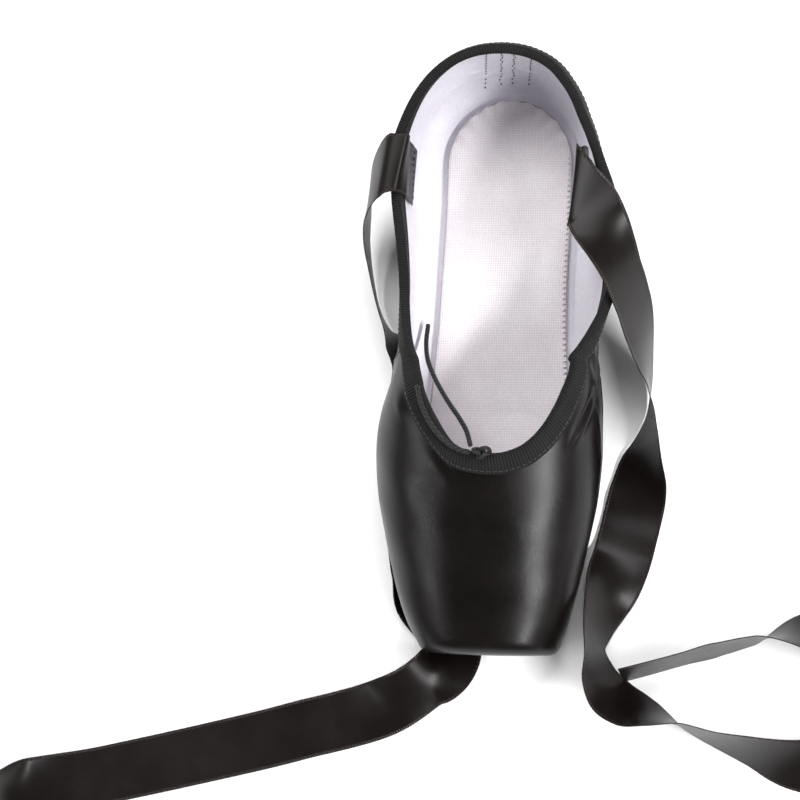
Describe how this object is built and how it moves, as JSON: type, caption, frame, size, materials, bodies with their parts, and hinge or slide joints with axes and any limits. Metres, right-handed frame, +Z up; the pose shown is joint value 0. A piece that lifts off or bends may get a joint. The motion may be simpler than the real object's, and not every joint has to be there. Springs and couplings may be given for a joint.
{
  "type": "pointe shoe",
  "caption": "Satin pointe shoe with a stiff toe box and flat platform, ribbed collar binding, elastic drawstring, leather outsole and a long ribbon sewn inside each side.",
  "frame": {"origin": "on the floor, under the middle of the shoe without its ribbons", "axes": "+Z up; +Y along the shoe from the toe platform to the heel; +X across the shoe, to the right when it is seen from above with the heel at the top"},
  "size_m": [0.4884, 0.3097, 0.0595],
  "materials": {
    "satin": "black satin outside with a silky highlight, pale canvas lining inside",
    "binding": "matt black cotton rib",
    "sole_leather": "matt tan leather",
    "canvas": "off-white woven canvas",
    "ribbon": "black satin",
    "drawstring": "matt black braid"
  },
  "bodies": {
    "root": {"upper": "satin", "collar_binding": "binding", "outsole": "sole_leather", "insole": "canvas", "ribbon_left": "ribbon", "ribbon_right": "ribbon", "drawstring_knot": "drawstring", "drawstring_inner_end": "drawstring", "drawstring_outer_end": "drawstring"}
  },
  "joints": []
}
